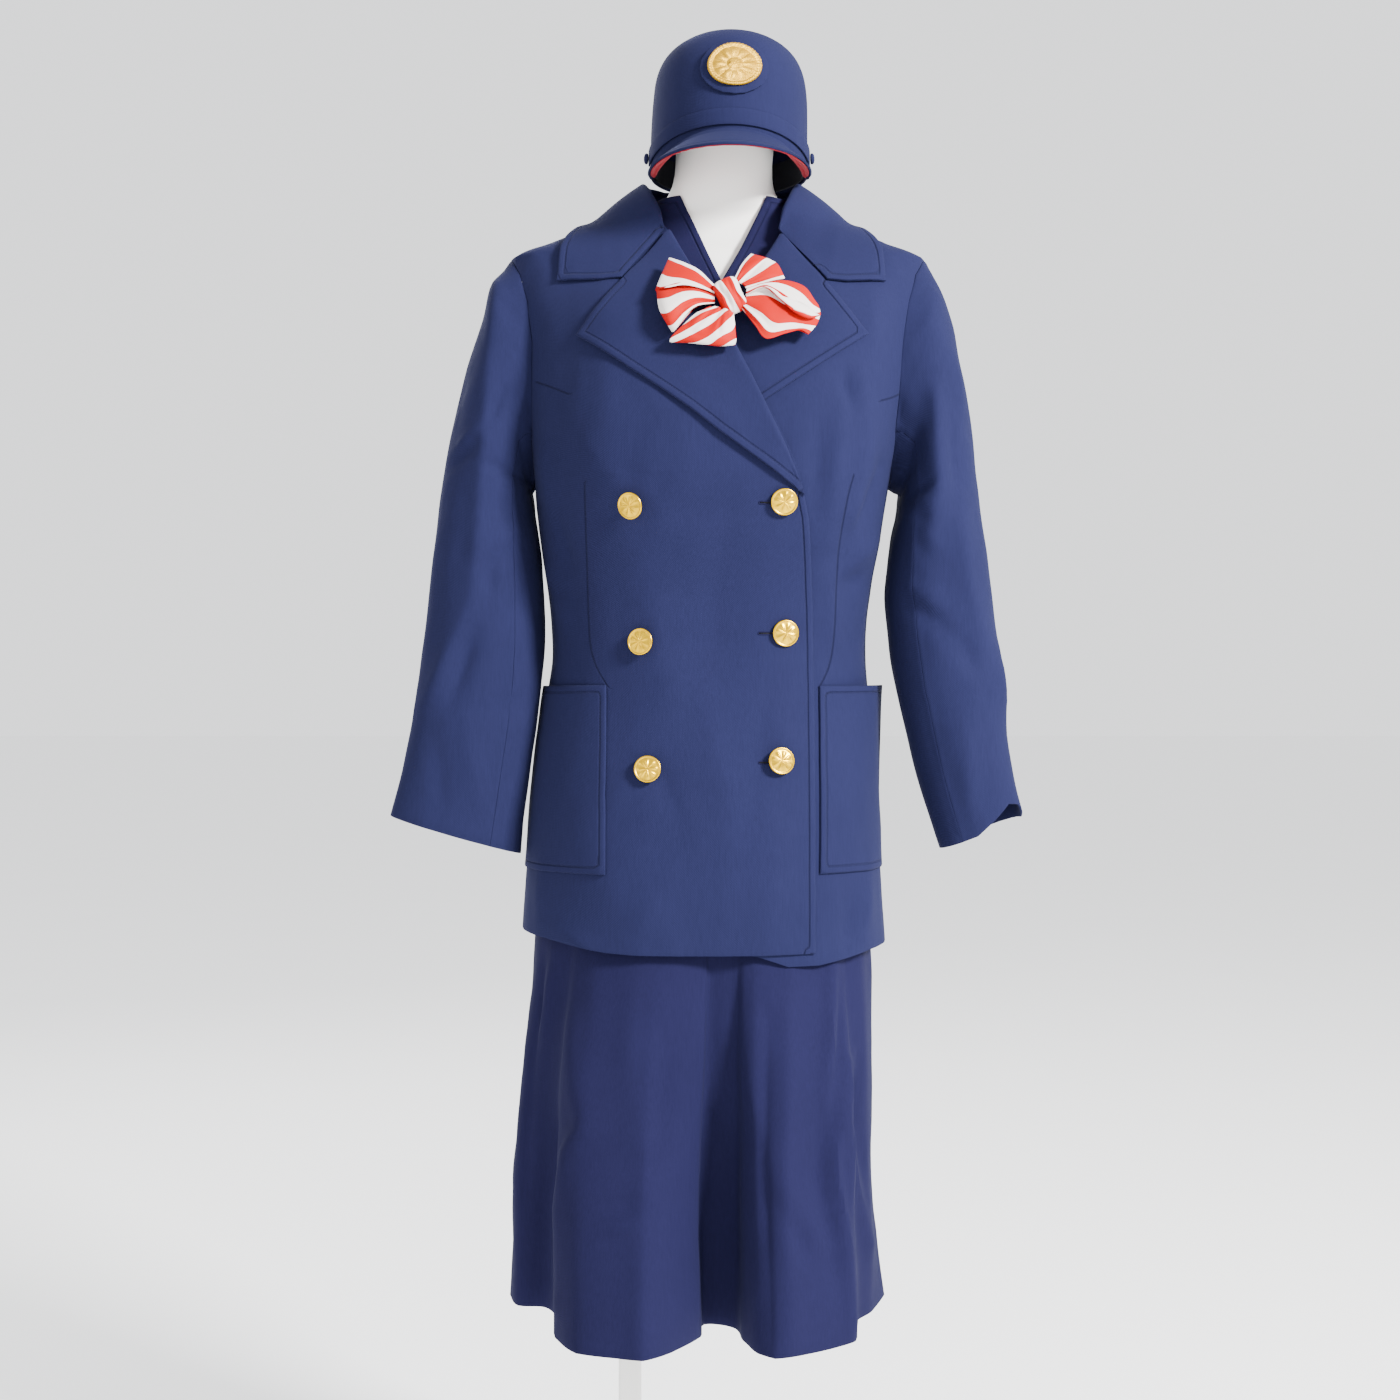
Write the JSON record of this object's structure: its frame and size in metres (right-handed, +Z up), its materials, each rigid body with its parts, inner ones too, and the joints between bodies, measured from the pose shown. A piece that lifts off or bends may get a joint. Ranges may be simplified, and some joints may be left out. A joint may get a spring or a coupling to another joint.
{
  "type": "flight attendant uniform on a limbless dress form with a stand",
  "caption": "Double-breasted navy jacket over a pleated dress, with a striped bow and a peaked cap, hung on a limbless form on a round-based stand.",
  "frame": {"origin": "middle of the underside of the stand's base plate, on the floor", "axes": "+Z up, -Y the way the garment faces, +X to the viewer's right, which is the wearer's left"},
  "size_m": [0.599, 0.351, 1.542],
  "materials": {
    "navy_suiting": "fine twill, matt",
    "navy_dress": "fine plain weave, matt",
    "striped_scarf": "smooth scarf cloth, red and white diagonal stripes",
    "red_lining": "smooth lining cloth",
    "black_band": "ribbed band, matt",
    "gold_metal": "gilt, satin",
    "form_white": "smooth, matt",
    "stand_white": "powder coat, satin"
  },
  "bodies": {
    "root": {"base": "stand_white", "bodice_back": "navy_dress", "bodice_front": "navy_dress", "bow_knot": "striped_scarf", "bow_loop_left": "striped_scarf", "bow_loop_right": "striped_scarf", "bow_tail_left": "striped_scarf", "bow_tail_right": "striped_scarf", "button_left_bottom": "gold_metal", "button_left_middle": "gold_metal", "button_left_top": "gold_metal", "button_right_bottom": "gold_metal", "button_right_middle": "gold_metal", "button_right_top": "gold_metal", "cap_badge": "gold_metal", "cap_button_left": "navy_suiting", "cap_button_right": "navy_suiting", "cap_crown": "navy_suiting", "cap_patch": "navy_suiting", "cap_strap": "navy_suiting", "cap_sweatband": "black_band", "cap_visor": "navy_suiting", "cap_visor_lining": "red_lining", "collar": "navy_suiting", "collar_stand": "navy_suiting", "form": "form_white", "jacket_back_left": "navy_suiting", "jacket_back_right": "navy_suiting", "jacket_front_left": "navy_suiting", "jacket_front_right": "navy_suiting", "lapel_left": "navy_suiting", "lapel_right": "navy_suiting", "pocket_left": "navy_suiting", "pocket_right": "navy_suiting", "pole": "stand_white", "pole_collar": "stand_white", "skirt_back": "navy_dress", "skirt_front": "navy_dress", "sleeve_left_top": "navy_suiting", "sleeve_left_under": "navy_suiting", "sleeve_right_top": "navy_suiting", "sleeve_right_under": "navy_suiting"}
  },
  "joints": []
}
